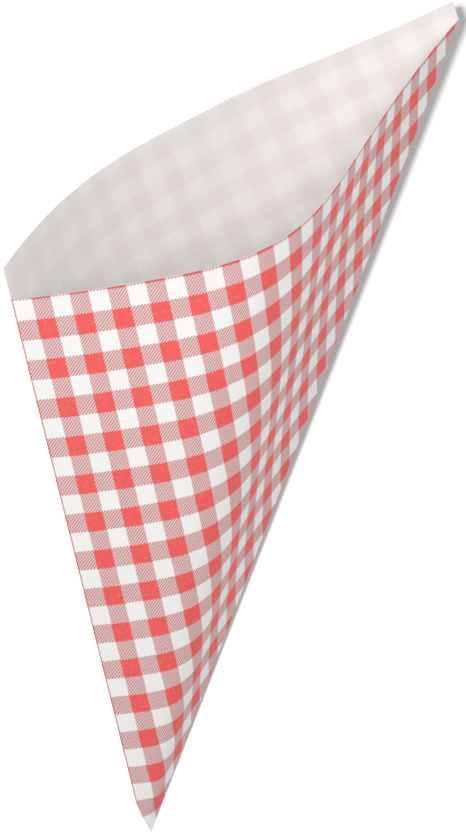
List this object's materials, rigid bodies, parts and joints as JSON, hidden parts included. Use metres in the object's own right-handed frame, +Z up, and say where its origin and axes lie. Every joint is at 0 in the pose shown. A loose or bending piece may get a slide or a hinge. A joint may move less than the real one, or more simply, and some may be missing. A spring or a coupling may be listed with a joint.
{
  "type": "paper cone",
  "caption": "Pointed paper bag folded from one printed sheet, lying on its side with the mouth open and the back panel standing past the front.",
  "frame": {"origin": "on the ground, under the flat strip of the back panel that the bag rests on, at 0.7 of the side edge's length from the corner of the uncut sheet", "axes": "+Z up, +Y along the resting strip from the tip to the mouth, +X towards the folded edge, with the glued side edge on the -X side"},
  "size_m": [0.1527, 0.2621, 0.0721],
  "materials": {
    "printed_paper": "matt uncoated paper with a woven check printed on the outside"
  },
  "bodies": {
    "root": {"paper_cone": "printed_paper"}
  },
  "joints": []
}
